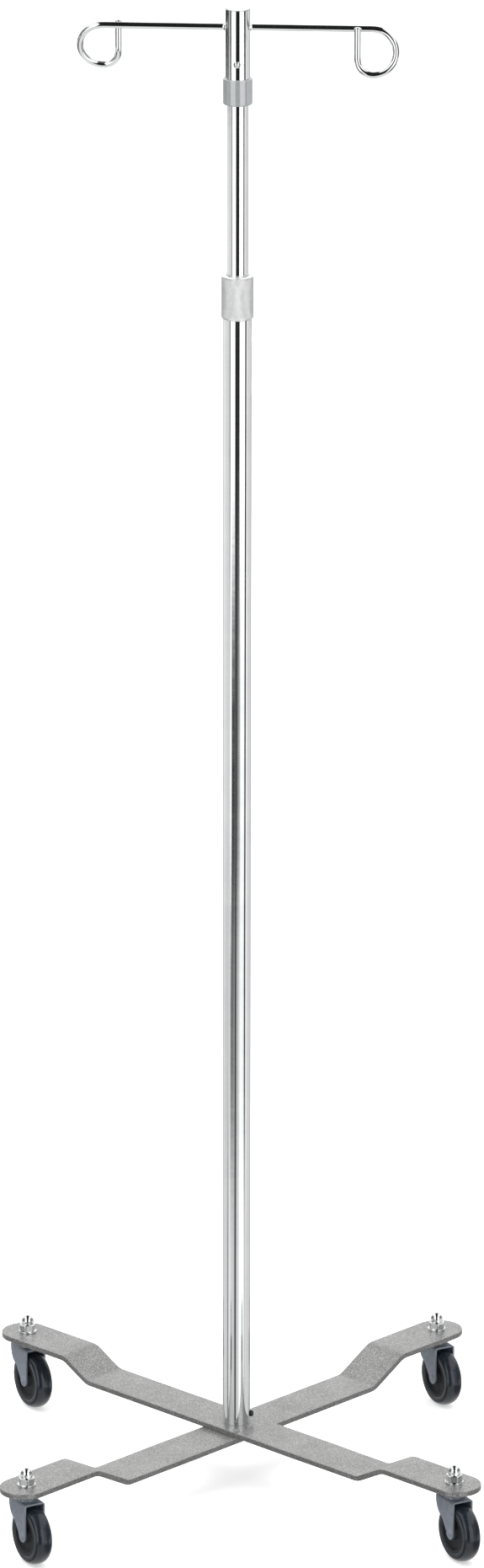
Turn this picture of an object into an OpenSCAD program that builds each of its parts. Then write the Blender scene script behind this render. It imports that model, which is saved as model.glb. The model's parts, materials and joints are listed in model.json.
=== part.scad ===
// Rolling IV pole: two crossed steel bars on four swivel casters, a telescoping tube with a
// twist lock, and a lift-off head with two pigtail hooks. Millimetres, +Z up. The origin is on
// the floor, under the middle of the pole, and the bars run along the diagonals of X and Y.

/* [Base bars] */
// Width of each bar
bar_w = 44.45; // [40:0.05:50]
// Thickness of each bar
bar_t = 5; // [4:0.5:6]
// Distance from the pole's middle to each caster's stem
stem_reach = 273.3; // [250:0.1:300]
// Distance from the stem to the centre of the bar's round end
end_reach = 3; // [0:0.5:6]
// Height of a foot's underside above the floor
foot_z = 66.7; // [66:0.1:72]
// How far the upper bar's middle hangs below its feet
upper_drop = 16; // [14:0.5:20]
// Where the flat feet start, measured from the pole's middle
foot_start = 208; // [200:1:214]
// Slope of the Z bends, in degrees
bend_angle = 28; // [24:1:40]
// Bend radius at the middle of the bar's thickness
bend_r = 18; // [10:0.5:22]

/* [Casters] */
// Wheel diameter
wheel_d = 55; // [48:0.1:55.5]
// Wheel width at the tread
wheel_w = 16.6; // [12:0.1:16.8]
// Distance from the stem's axis to the wheel's axle
trail = 10; // [8:0.5:18]
// Way the wheels trail at rest, as an angle from +X
caster_yaw = -62; // [-180:1:180]
// Gap between the two fork legs
fork_gap = 17.6; // [17.4:0.1:19]
// Thickness of the fork's sheet
fork_t = 1.6; // [1.2:0.1:2]
// Stem diameter
stem_d = 7.94; // [7:0.01:8]

/* [Pole] */
// Outside diameter of the lower tube
outer_d = 25.4; // [25:0.1:26]
// Outside diameter of the sliding tube
inner_d = 19.05; // [18.8:0.05:19.1]
// Tube wall
tube_wall = 1.65; // [1.5:0.05:1.7]
// Height of the lock collar's lower edge
lock_z = 1107.1; // [900:0.1:1107.5]
// Length of the lock collar
lock_h = 39.7; // [39:0.1:41]
// Diameter of the lock collar
lock_d = 29; // [28.6:0.1:31]

/* [Head] */
// Turn of the head about the pole, in degrees
head_yaw = -5; // [-180:1:180]
// Height of the head collar's lower edge
head_z = 1301.9; // [1250:0.1:1302]
// Length of the head collar
head_collar_h = 23.2; // [20:0.1:26]
// Diameter of the head collar
head_collar_d = 26; // [25:0.5:28]
// Outside diameter of the head tube
head_tube_d = 22.2; // [22:0.1:22.4]
// Length of the whole head with its cap
head_h = 87.8; // [85:0.1:95]
// Rod diameter of the hooks
rod_d = 6; // [5:0.1:6.4]
// Height of the hook arms above the head collar's lower edge
arm_up = 69.1; // [66:0.1:72]
// Reach of a hook's loop, from the pole's middle to the rod's middle
hook_reach = 140.1; // [120:0.1:160]
// Radius of the loop's large half turn
loop_r = 20.3; // [18:0.1:22]
// Radius of the quarter turn that leads to the tip
turn_r = 13.7; // [12:0.1:15]
// Lean of the loop that takes the tip past the arm, in degrees
loop_lean = 18; // [17:1:22]

/* [Hidden] */
$fn = 48;
fit = 0.08;
gap = 0.3;
hole_r = stem_d / 2 + 0.13;
far = 400;

CORNERS = [["fl", 225], ["fr", 315], ["bl", 135], ["br", 45]];
CASTER_PARTS = [
    "caster_stem", "race_cup", "race_balls", "fork", "axle", "axle_sleeve", "wheel_hub", "tyre"
];

// Heights and radii that follow from the driving dimensions
upper_z = foot_z - upper_drop;
lower_z = upper_z - bar_t;
pole_z = upper_z + bar_t;
foot_top = foot_z + bar_t;
washer_t = 1.6;
nut_z = foot_top + washer_t;
bolt_hole_r = stem_d / 2 + 0.2;
rivet_r = 1.6;
rivet_reach = 24;
plug_h = 30;
screw_z = pole_z + 8;
screw_r = 2;
outer_r = outer_d / 2;
outer_bore = outer_r - tube_wall;
inner_r = inner_d / 2;
inner_bore = inner_r - tube_wall + 0.1;
lock_top = lock_z + lock_h;
tube_top = lock_z + 13.9;
nose_r = 11.7;
nose_z = tube_top + 2;
nose_h = 11;
collet_z = nose_z + nose_h + 0.1;
collet_h = 9.8;
inner_z = 262;
inner_top = head_z + 56;
head_tube_r = head_tube_d / 2;
head_bore = inner_r + 0.1;
head_top = head_z + head_h;
head_tube_z = head_z + 3;
cap_h = 2.3;
arm_z = head_z + arm_up;
button_z = head_z + 37.4;
button_r = 3.3;
rod_r = rod_d / 2;

wheel_r = wheel_d / 2;
fork_half = fork_gap / 2 + fork_t;
plate_z = foot_z - 9.5;
plate_top = plate_z + fork_t;
dome_foot = plate_z + 0.5;
dome_top = plate_top + 3.2;
ball_r = 1.19;
ball_ring = 6.4;
groove = 0.45;
cup_r = 10;
cavity_r = 6.5;
ball_z = dome_top - groove + ball_r + 0.02;
cup_z = ball_z + ball_r - groove + 0.02;
tip_r = 5.8;
fork_front = trail + tip_r;
fork_back = fork_front - 30.5;
axle_r = 2.4;
sleeve_r = 3.5;
hub_r = 18.5;
crown = 5;

// Points along a circle's arc, for outlines
function arc(cx, cy, r, from, to, steps = 8) =
    [for (i = [0:steps]) let (a = from + (to - from) * i / steps) [cx + r * cos(a), cy + r * sin(a)]];

// Points along a quadratic curve from p to r, pulled towards q
function curve(p, q, r, steps = 8) =
    [for (i = [0:steps]) let (t = i / steps) p * (1 - t) * (1 - t) + q * 2 * t * (1 - t) + r * t * t];

module ring(r_out, r_in, h) {
    difference() {
        cylinder(r = r_out, h = h);
        translate([0, 0, -1]) cylinder(r = r_in, h = h + 2);
    }
}

// Repeats its child at the four stems
module at_stems() {
    for (c = CORNERS) rotate(c[1]) translate([stem_reach, 0, 0]) children();
}

// ---- Base ----

// Half of a bar's side view, from the middle out: flat, up the Z bend, then the flat foot
function bar_half(mid_z, side) =
    let (
        rise = foot_z - mid_z,
        ramp = (rise - 2 * bend_r * (1 - cos(bend_angle))) / sin(bend_angle),
        run = 2 * bend_r * sin(bend_angle) + ramp * cos(bend_angle),
        half_t = side * bar_t / 2,
        low = arc(foot_start - run, mid_z + bar_t / 2 + bend_r, bend_r - half_t, -90, bend_angle - 90, 6),
        high = arc(foot_start, foot_z + bar_t / 2 - bend_r, bend_r + half_t, 90 + bend_angle, 90, 6)
    )
    concat(low, high, [[far, foot_z + bar_t / 2 + half_t]]);

function mirrored(points) = [for (i = [len(points) - 1:-1:0]) [-points[i][0], points[i][1]]];

function backwards(points) = [for (i = [len(points) - 1:-1:0]) points[i]];

module bar_side(mid_z) {
    top = bar_half(mid_z, 1);
    under = bar_half(mid_z, -1);
    polygon(concat(mirrored(top), top, backwards(under), backwards(mirrored(under))));
}

// Outline from above: straight sides and round ends
module bar_plan() {
    end_x = stem_reach + end_reach;
    square([2 * end_x, bar_w], center = true);
    for (side = [-1, 1]) translate([side * end_x, 0]) circle(r = bar_w / 2);
}

// One bar along X, then turned to its diagonal, with its holes where the crossed bars share them
module bar(mid_z, turn) {
    rotate(turn) difference() {
        intersection() {
            translate([0, bar_w, 0]) rotate([90, 0, 0]) linear_extrude(2 * bar_w) bar_side(mid_z);
            translate([0, 0, mid_z - 1]) linear_extrude(2 * foot_z) bar_plan();
        }
        translate([0, 0, mid_z - 1]) cylinder(r = bolt_hole_r, h = bar_t + 2);
        for (side = [-1, 1]) {
            translate([side * stem_reach, 0, foot_z - 1]) cylinder(r = hole_r, h = bar_t + 2);
            rotate(90 - turn) translate([side * rivet_reach, 0, mid_z - 1])
                cylinder(r = rivet_r + 0.05, h = bar_t + 2);
        }
    }
}

module base_bar_upper() {
    color([0.62, 0.63, 0.62]) bar(upper_z, -45);
}

module base_bar_lower() {
    color([0.60, 0.61, 0.60]) bar(lower_z, 45);
}

// Two round-head rivets that keep the crossed bars square
module locating_rivets() {
    head_r = 2.9;
    head_h = 1.5;
    color("silver")
    for (side = [-1, 1]) translate([0, side * rivet_reach, 0]) {
        translate([0, 0, lower_z - 0.5]) cylinder(r = rivet_r, h = 2 * bar_t + 1);
        translate([0, 0, pole_z]) cylinder(r1 = head_r, r2 = head_r * 0.6, h = head_h);
        translate([0, 0, lower_z - head_h]) cylinder(r1 = head_r * 0.6, r2 = head_r, h = head_h);
    }
}

module base_bolt() {
    head_h = 5.5;
    head_z = lower_z - 1.8 - head_h;
    color("dimgray") {
        translate([0, 0, head_z]) cylinder(d = 12.7 / cos(30), h = head_h, $fn = 6);
        translate([0, 0, head_z + 1]) cylinder(d = stem_d, h = pole_z + 19 - head_z);
    }
}

// Spring washer with its one cut
module base_lock_washer() {
    color("gray") translate([0, 0, lower_z - 1.8]) difference() {
        ring(7.2, stem_d / 2 + 0.15, 1.8);
        translate([3, -0.4, -1]) cube([6, 0.8, 4]);
    }
}

module stem_washers() {
    color("silver") at_stems() translate([0, 0, foot_top]) ring(8.5, hole_r, washer_t);
}

// High-crown cap nuts over the stems
module cap_nuts() {
    hex_h = 6.5;
    crown_r = 5.65;
    crown_z = 15 - crown_r;
    color("silver") at_stems() translate([0, 0, nut_z]) difference() {
        union() {
            intersection() {
                cylinder(d = 13.6 / cos(30), h = hex_h, $fn = 6);
                cylinder(r1 = 7.2 + hex_h, r2 = 7.2, h = hex_h);
            }
            rotate_extrude() polygon(concat([[0, 1], [crown_r, 1]], arc(0, crown_z, crown_r, 0, 90)));
        }
        translate([0, 0, -1]) cylinder(r = stem_d / 2 + 0.04, h = 10.5);
    }
}

// ---- Pole ----

// Plug pressed into the tube's foot, tapped for the base bolt and the side screw
module pole_plug() {
    color("gray") difference() {
        translate([0, 0, pole_z]) cylinder(r = outer_bore - 0.05, h = plug_h);
        translate([0, 0, pole_z - 1]) cylinder(r = stem_d / 2 + 0.05, h = 22);
        translate([stem_d / 2 + 1, 0, screw_z]) rotate([0, 90, 0]) cylinder(r = screw_r + 0.03, h = 20);
    }
}

module plug_screw() {
    head_r = 2.9;
    tail = stem_d / 2 + 1.3;
    seat = outer_r + 0.02;
    color([0.08, 0.08, 0.09]) translate([0, 0, screw_z]) rotate([0, 90, 0]) {
        translate([0, 0, tail]) cylinder(r = screw_r, h = seat + 1 - tail);
        difference() {
            translate([0, 0, seat]) rotate_extrude() {
                polygon(concat([[0, 0], [head_r, 0]], arc(0, 1.4, head_r * 0.72, 0, 90)));
            }
            translate([-0.5, -4, seat + 2.6]) cube([1, 8, 2]);
        }
    }
}

module outer_tube() {
    color([0.80, 0.81, 0.82]) difference() {
        translate([0, 0, pole_z]) ring(outer_r, outer_bore, tube_top - pole_z);
        translate([outer_bore - 2, 0, screw_z]) rotate([0, 90, 0]) cylinder(r = screw_r + 0.05, h = 6);
    }
}

// Blank label wrapped part of the way round the tube
module tube_label() {
    label_h = 67;
    from = -38;
    to = 50;
    color("white") translate([0, 0, lock_z - 73.4]) intersection() {
        ring(outer_r + 0.25, outer_r + 0.02, label_h);
        linear_extrude(label_h) polygon(concat([[0, 0]], arc(0, 0, outer_r * 2, from, to)));
    }
}

// Threaded bush in the tube's mouth, which the lock collar screws onto
module lock_ferrule() {
    bore = inner_r + 0.35;
    color("darkgray") difference() {
        union() {
            translate([0, 0, tube_top - 18]) cylinder(r = outer_bore - 0.05, h = 19);
            translate([0, 0, tube_top]) cylinder(r = outer_r - 0.05, h = 2);
            translate([0, 0, nose_z - 0.5]) cylinder(r = nose_r, h = nose_h + 0.5);
        }
        translate([0, 0, tube_top - 20]) cylinder(r = bore, h = 40);
    }
}

// Nylon collet that the collar's cone closes onto the sliding tube
module collet() {
    color("ivory") translate([0, 0, collet_z]) difference() {
        cylinder(r1 = nose_r - 0.2, r2 = nose_r - 1.5, h = collet_h);
        translate([0, 0, -1]) cylinder(r = inner_r + fit, h = collet_h + 2);
        for (turn = [0:90:270]) rotate(turn) translate([5, -0.6, 2.5]) cube([10, 1.2, collet_h]);
    }
}

// Lock collar: skirt over the tube, thread over the bush, then the cone over the collet
module lock_collar() {
    edge = 1.2;
    lock_r = lock_d / 2;
    thread_z = nose_z + 0.2 - lock_z;
    cone_z = collet_z - lock_z;
    cone_top = cone_z + collet_h + 0.4;
    color([0.68, 0.69, 0.70]) translate([0, 0, lock_z]) rotate_extrude() polygon([
        [outer_r + gap, 0], [lock_r - edge, 0], [lock_r, edge], [lock_r, lock_h - edge],
        [lock_r - edge, lock_h], [inner_r + 0.35, lock_h], [inner_r + 0.35, cone_top],
        [nose_r - 1.1, cone_top], [nose_r + gap, cone_z], [nose_r + gap, thread_z],
        [outer_r + gap, thread_z]
    ]);
}

module inner_tube() {
    color([0.82, 0.83, 0.84]) difference() {
        translate([0, 0, inner_z]) ring(inner_r, inner_bore, inner_top - inner_z);
        rotate(head_yaw) translate([0, -5, button_z]) rotate([90, 0, 0])
            cylinder(r = button_r + 0.1, h = 8);
    }
}

// Nylon bush that steadies the sliding tube's foot inside the lower tube
module tube_glide() {
    flange_h = 12;
    color("white") translate([0, 0, inner_z - flange_h]) difference() {
        union() {
            cylinder(r = outer_bore - 0.1, h = flange_h);
            cylinder(r = inner_bore - 0.05, h = flange_h + 18);
        }
        translate([0, 0, -1]) cylinder(r = 4, h = 40);
    }
}

// ---- Head ----

module snap_button() {
    face = head_tube_r + 2;
    color("silver") rotate(head_yaw) translate([0, 0, button_z]) rotate([90, 0, 0]) rotate_extrude() {
        polygon(concat([[0, 6.8], [button_r, 6.8]], arc(0, face - button_r, button_r, 0, 90)));
    }
}

// Folded leaf spring that pushes the button out
module snap_spring() {
    leaf = 0.5;
    half_w = 3;
    front = -6.75;
    back = 6.7;
    fold = -34;
    color("slategray") rotate(head_yaw) translate([-half_w, 0, button_z]) rotate([90, 0, 90]) {
        linear_extrude(2 * half_w) polygon([
            [front, 4], [front, -4], [back - 3, fold], [back, fold], [back, 8], [back - leaf, 8],
            [back - leaf, fold + leaf], [back - 3 + leaf, fold + leaf], [front + leaf, -4], [front + leaf, 4]
        ]);
    }
}

module head_tube() {
    color([0.80, 0.81, 0.82]) difference() {
        translate([0, 0, head_tube_z]) ring(head_tube_r, head_bore, head_top - cap_h - head_tube_z);
        rotate(head_yaw) translate([0, -5, button_z]) rotate([90, 0, 0])
            cylinder(r = button_r + 0.15, h = 10);
    }
}

// Rounded plug that closes the top
module head_cap() {
    rim = head_tube_r + 0.2;
    round_r = 1.8;
    color("gainsboro") translate([0, 0, head_top - cap_h]) {
        rotate_extrude() polygon(concat(
            [[0, 0], [rim, 0]], arc(rim - round_r, cap_h - round_r, round_r, 0, 90), [[0, cap_h]]
        ));
        translate([0, 0, -10]) cylinder(r = head_bore - 0.05, h = 11);
    }
}

// Smooth collar under the head tube, with a step that the tube sits in
module head_collar() {
    r = head_collar_d / 2;
    color([0.58, 0.60, 0.61]) translate([0, 0, head_z]) rotate_extrude() polygon([
        [inner_r + gap, 0], [r - 0.6, 0], [r, 0.8], [r, head_collar_h - 0.6], [r - 0.6, head_collar_h],
        [head_tube_r + 0.05, head_collar_h], [head_tube_r + 0.05, 3], [inner_r + gap, 3]
    ]);
}

// Bent rod: arm, large half turn, quarter turn, then an upright tip that passes the arm
module hook() {
    root_x = head_tube_r - 2;
    turn_x = hook_reach - loop_r;
    turn_down = 2 * loop_r - turn_r;
    tip_x = turn_x - turn_r;
    tip_y = -turn_down * sin(loop_lean);
    tip_low = -turn_down * cos(loop_lean);
    translate([0, 0, arm_z]) difference() {
        union() {
            translate([root_x, 0, 0]) rotate([0, 90, 0]) {
                cylinder(r = rod_r, h = turn_x - root_x);
                cylinder(r1 = rod_r + 1.4, r2 = rod_r - 0.2, h = 4);
            }
            rotate([-loop_lean, 0, 0]) {
                translate([turn_x, 0, -loop_r]) rotate([90, 0, 0]) rotate([0, 0, -90])
                    rotate_extrude(angle = 180) translate([loop_r, 0]) circle(r = rod_r);
                translate([turn_x, 0, -turn_down]) rotate([90, 0, 0]) rotate([0, 0, 180])
                    rotate_extrude(angle = 90) translate([turn_r, 0]) circle(r = rod_r);
            }
            translate([turn_x, 0, 0]) sphere(r = rod_r + 0.03);
            translate([tip_x, tip_y, tip_low]) sphere(r = rod_r + 0.03);
            translate([tip_x, tip_y, tip_low]) cylinder(r = rod_r, h = rod_r - tip_low);
        }
        translate([0, 0, -20]) cylinder(r = head_tube_r + 0.02, h = 40);
    }
}

module hook_left() {
    color("lightgray") rotate(head_yaw + 180) hook();
}

module hook_right() {
    color("lightgray") rotate(head_yaw) hook();
}

// ---- Caster, drawn with its stem on the Z axis and its wheel trailing towards +X ----

// Threaded stem with the rivet head that carries the fork
module caster_stem() {
    color("silver") {
        translate([0, 0, plate_top]) cylinder(r = cavity_r - 0.9, h = 1.3);
        translate([0, 0, plate_z + 2]) cylinder(d = stem_d, h = nut_z + 8.4 - plate_z - 2);
    }
}

// Upper race, fixed to the stem under the foot
module race_cup() {
    color("silver") difference() {
        union() {
            translate([0, 0, cup_z]) cylinder(r = cup_r, h = foot_z - cup_z);
            translate([0, 0, ball_z - 0.6]) ring(cup_r, cup_r - 0.7, cup_z - ball_z + 1);
        }
        translate([0, 0, cup_z - 2]) cylinder(r = stem_d / 2 + 0.04, h = 10);
        translate([0, 0, ball_z]) rotate_extrude() translate([ball_ring, 0]) circle(r = ball_r + 0.02);
    }
}

module race_balls() {
    color("silver")
        for (turn = [0:45:315]) rotate(turn) translate([ball_ring, 0, ball_z]) sphere(r = ball_r);
}

// Side view of the fork: upright front edge, round tip at the axle, swept back edge
function fork_side() =
    concat(
        [[fork_front, plate_top + 5]],
        arc(trail, wheel_r, tip_r, 0, -180),
        curve([fork_back + 11, 38.5], [fork_back + 1.5, 42], [fork_back, plate_z - 4]),
        [[fork_back, plate_top + 5]]
    );

// Front view of the fork: one sheet bent down on both sides
function fork_front_view() =
    let (
        round_out = 2.6,
        round_in = 1.0,
        inside = fork_half - fork_t,
        right = arc(fork_half - round_out, plate_top - round_out, round_out, 0, 90, 4),
        under = arc(inside - round_in, plate_z - round_in, round_in, 0, 90, 4)
    )
    concat(
        [[fork_half, 0]], right, mirrored(right), [[-fork_half, 0], [-inside, 0]],
        backwards(mirrored(under)), backwards(under), [[inside, 0]]
    );

// Fork with the raised lower race in its top
module fork() {
    color([0.50, 0.54, 0.59]) difference() {
        union() {
            intersection() {
                translate([fork_back - 1, 0, 0]) rotate([90, 0, 90]) linear_extrude(40)
                    polygon(fork_front_view());
                translate([0, 20, 0]) rotate([90, 0, 0]) linear_extrude(40) polygon(fork_side());
            }
            translate([0, 0, dome_foot])
                cylinder(r1 = cup_r - 0.7, r2 = cup_r - 1.5, h = dome_top - dome_foot);
        }
        translate([0, 0, plate_z - 3]) cylinder(r = cavity_r, h = dome_top - plate_z + 3 - fork_t);
        translate([0, 0, plate_z - 3]) cylinder(r = stem_d / 2 + fit, h = 20);
        translate([0, 0, ball_z]) rotate_extrude() translate([ball_ring, 0]) circle(r = ball_r + 0.02);
        translate([trail, 20, wheel_r]) rotate([90, 0, 0]) cylinder(r = axle_r + 0.05, h = 40);
    }
}

// Riveted axle
module axle() {
    head_h = 0.9;
    color("silver") translate([trail, 0, wheel_r]) rotate([90, 0, 0]) {
        translate([0, 0, -fork_half - 0.5]) cylinder(r = axle_r, h = 2 * fork_half + 1);
        translate([0, 0, fork_half]) cylinder(r1 = 3.8, r2 = 3, h = head_h);
        translate([0, 0, -fork_half - head_h]) cylinder(r1 = 3, r2 = 3.8, h = head_h);
    }
}

// Steel sleeve that keeps the fork legs apart and carries the hub
module axle_sleeve() {
    color("gray") translate([trail, fork_gap / 2, wheel_r]) rotate([90, 0, 0])
        ring(sleeve_r, axle_r + 0.05, fork_gap);
}

module wheel_hub() {
    half = wheel_w / 2;
    boss = fork_gap / 2 - 0.25;
    bore = sleeve_r + fit;
    rim = hub_r - 2.2;
    color([0.13, 0.14, 0.15]) translate([trail, 0, wheel_r]) rotate([90, 0, 0]) rotate_extrude() polygon([
        [bore, -boss], [6.2, -boss], [6.8, 2.2 - half], [rim - 0.6, 2.2 - half], [rim, 0.4 - half],
        [hub_r - 0.05, 0.4 - half], [hub_r - 0.05, half - 0.4], [rim, half - 0.4],
        [rim - 0.6, half - 2.2], [6.8, half - 2.2], [6.2, boss], [bore, boss]
    ]);
}

// Tread with an elliptical crown
module tyre() {
    half = wheel_w / 2;
    color([0.11, 0.12, 0.13]) translate([trail, 0, wheel_r]) rotate([90, 0, 0]) rotate_extrude() {
        polygon(concat(
            [[hub_r, half], [hub_r, -half]],
            [for (a = [-90:15:90]) [wheel_r - crown * (1 - cos(a)), half * sin(a)]]
        ));
    }
}

// Puts a caster part at its corner, turned the way the caster trails
module at_corner(corner) {
    rotate(corner[1]) translate([stem_reach, 0, 0]) rotate(caster_yaw - corner[1]) children();
}

base_bar_upper();
base_bar_lower();
locating_rivets();
base_bolt();
base_lock_washer();
stem_washers();
cap_nuts();
pole_plug();
plug_screw();
outer_tube();
tube_label();
lock_ferrule();
lock_collar();
collet();
inner_tube();
tube_glide();
snap_button();
snap_spring();
head_tube();
head_cap();
head_collar();
hook_left();
hook_right();
for (corner = CORNERS) {
    at_corner(corner) caster_stem();
    at_corner(corner) race_cup();
    at_corner(corner) race_balls();
    at_corner(corner) fork();
    at_corner(corner) axle();
    at_corner(corner) axle_sleeve();
    at_corner(corner) wheel_hub();
    at_corner(corner) tyre();
}
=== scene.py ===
import json
import math

import bmesh
import bpy
import numpy as np
from mathutils import Euler, Matrix, Vector


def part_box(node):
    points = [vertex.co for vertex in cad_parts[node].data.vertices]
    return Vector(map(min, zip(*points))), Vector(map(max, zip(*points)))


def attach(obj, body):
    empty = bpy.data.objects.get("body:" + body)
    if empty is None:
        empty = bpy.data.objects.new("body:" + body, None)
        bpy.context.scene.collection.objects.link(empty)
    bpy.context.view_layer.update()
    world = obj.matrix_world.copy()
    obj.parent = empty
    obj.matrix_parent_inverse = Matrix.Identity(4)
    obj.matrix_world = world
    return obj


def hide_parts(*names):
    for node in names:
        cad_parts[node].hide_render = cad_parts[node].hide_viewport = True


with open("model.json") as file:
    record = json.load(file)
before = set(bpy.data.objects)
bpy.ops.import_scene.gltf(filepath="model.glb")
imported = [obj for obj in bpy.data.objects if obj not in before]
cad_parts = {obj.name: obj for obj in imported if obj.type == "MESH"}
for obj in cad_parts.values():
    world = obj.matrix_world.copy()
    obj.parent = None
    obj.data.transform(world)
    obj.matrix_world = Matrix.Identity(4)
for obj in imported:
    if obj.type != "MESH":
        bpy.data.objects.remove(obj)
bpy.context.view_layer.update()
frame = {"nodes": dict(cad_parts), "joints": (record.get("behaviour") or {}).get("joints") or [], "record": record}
scene = bpy.context.scene
mm = 0.001
cornerNames = ["fl", "fr", "bl", "br"]


camera = {
    "azimuth": -1.15,      # degrees round the pole from -Y
    "distance": 7.638,     # metres from the pole, along the floor
    "height": 3.0725,
    "downward": 17.44,     # degrees
    "pan": -0.034,
    "roll": 0.0745,
    "lens": 203.5,         # on a sensor 36 mm high
}


def addCamera(c):
    data = bpy.data.cameras.new("camera")
    data.lens = c["lens"]
    data.sensor_width = 36
    data.dof.use_dof = False
    data.clip_end = 200
    turn = math.radians(c["azimuth"])
    cameraObject = bpy.data.objects.new("camera", data)
    cameraObject.location = (c["distance"] * math.sin(turn), -c["distance"] * math.cos(turn), c["height"])
    aim = Euler((math.radians(90 - c["downward"]), 0, turn + math.radians(c["pan"]))).to_matrix()
    cameraObject.rotation_euler = (aim @ Matrix.Rotation(math.radians(c["roll"]), 3, "Z")).to_euler()
    scene.collection.objects.link(cameraObject)
    scene.camera = cameraObject


addCamera(camera)
scene.view_settings.view_transform = "Standard"
print("camera placed")


# one socket, so that shader maths reads as plain arithmetic
class Value:
    def __init__(self, kit, socket):
        self.kit = kit
        self.socket = socket

    def maths(self, operation, *others):
        sockets = {i + 1: other for i, other in enumerate(others)}
        return self.kit.add("ShaderNodeMath", {"operation": operation}, {0: self, **sockets})

    def __add__(self, other):
        return self.maths("ADD", other)

    def __radd__(self, other):
        return self.maths("ADD", other)

    def __sub__(self, other):
        return self.maths("SUBTRACT", other)

    def __rsub__(self, other):
        return self.kit.add("ShaderNodeMath", {"operation": "SUBTRACT"}, {0: other, 1: self})

    def __mul__(self, other):
        return self.maths("MULTIPLY", other)

    def __rmul__(self, other):
        return self.maths("MULTIPLY", other)

    def __truediv__(self, other):
        return self.maths("DIVIDE", other)

    def clamped(self):
        return self.maths("MAXIMUM", 0.0).maths("MINIMUM", 1.0)


# adds nodes to one node tree
class ShaderKit:
    def __init__(self, tree):
        self.tree = tree
        tree.nodes.clear()

    # type, settings (a ramp's stops are "stops"), then socket values or links by name or number
    def add(self, kind, settings=None, sockets=None, output=0):
        node = self.tree.nodes.new(kind)
        for key, setting in (settings or {}).items():
            if key == "stops":
                elements = node.color_ramp.elements
                while len(elements) > 1:
                    elements.remove(elements[-1])
                elements[0].position, elements[0].color = setting[0][0], setting[0][1]
                for position, colour in setting[1:]:
                    elements.new(position).color = colour
            else:
                setattr(node, key, setting)
        for key, value in (sockets or {}).items():
            if isinstance(value, Value):
                self.tree.links.new(value.socket, node.inputs[key])
            else:
                node.inputs[key].default_value = value
        return Value(self, node.outputs[output]) if len(node.outputs) else None

    def ramp(self, factor, stops):
        full = [(p, (c, c, c, 1) if isinstance(c, (int, float)) else (*c, 1)) for p, c in stops]
        return self.add("ShaderNodeValToRGB", {"stops": full}, {"Fac": factor})

    def noise(self, where, size, detail=2.0, roughness=0.5):
        return self.add("ShaderNodeTexNoise", {}, {"Vector": where, "Scale": 1 / size, "Detail": detail,
                                                   "Roughness": roughness})

    def mixed(self, factor, a, b):
        return self.add("ShaderNodeMix", {"data_type": "RGBA"}, {0: factor, 6: a, 7: b}, output=2)


def grey(level):
    return (level, level, level, 1)


# a material with one Principled shader: constants by socket name, then what varies
class Finish(ShaderKit):
    def __init__(self, name, **constants):
        self.material = bpy.data.materials.new(name)
        self.material.use_nodes = True
        super().__init__(self.material.node_tree)
        self.where = self.add("ShaderNodeTexCoord", output=3)
        self.shader = self.tree.nodes.new("ShaderNodeBsdfPrincipled")
        output = self.tree.nodes.new("ShaderNodeOutputMaterial")
        self.tree.links.new(self.shader.outputs[0], output.inputs["Surface"])
        for key, value in constants.items():
            self.shader.inputs[key.replace("_", " ")].default_value = value

    def feed(self, **values):
        for key, value in values.items():
            self.tree.links.new(value.socket, self.shader.inputs[key.replace("_", " ")])

    def bump(self, height, depth, strength=1.0):
        normal = self.add("ShaderNodeBump", {}, {"Height": height, "Distance": depth, "Strength": strength})
        self.feed(Normal=normal)


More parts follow.
